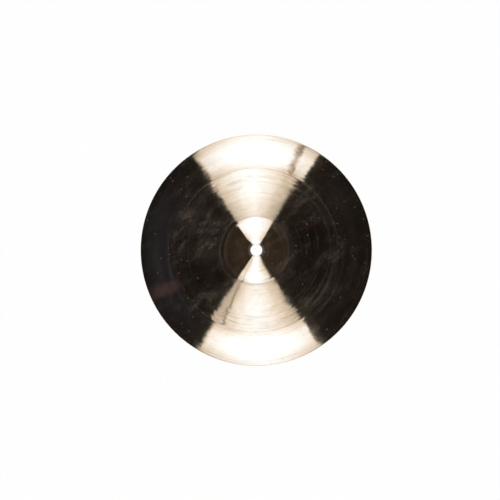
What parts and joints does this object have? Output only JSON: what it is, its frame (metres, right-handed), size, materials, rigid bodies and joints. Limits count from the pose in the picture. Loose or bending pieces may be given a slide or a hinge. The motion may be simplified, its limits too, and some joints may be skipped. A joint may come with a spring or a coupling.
{
  "type": "china cymbal",
  "caption": "Small bronze china cymbal with a domed cup, a shallow bow, an upturned flange and a centre hole for a stand.",
  "frame": {"origin": "on the cymbal's axis, on the plane that the underside of the crease lies on when the cymbal is put down with its cup up", "axes": "+Z along the axis, up out of the cup; +Y towards the top of the picture and +X towards its right"},
  "size_m": [0.254, 0.254, 0.0244],
  "materials": {
    "bell_bronze": "turned on a lathe and polished, with fine circular tool lines over faint hammer marks"
  },
  "bodies": {
    "root": {"cymbal": "bell_bronze"}
  },
  "joints": []
}
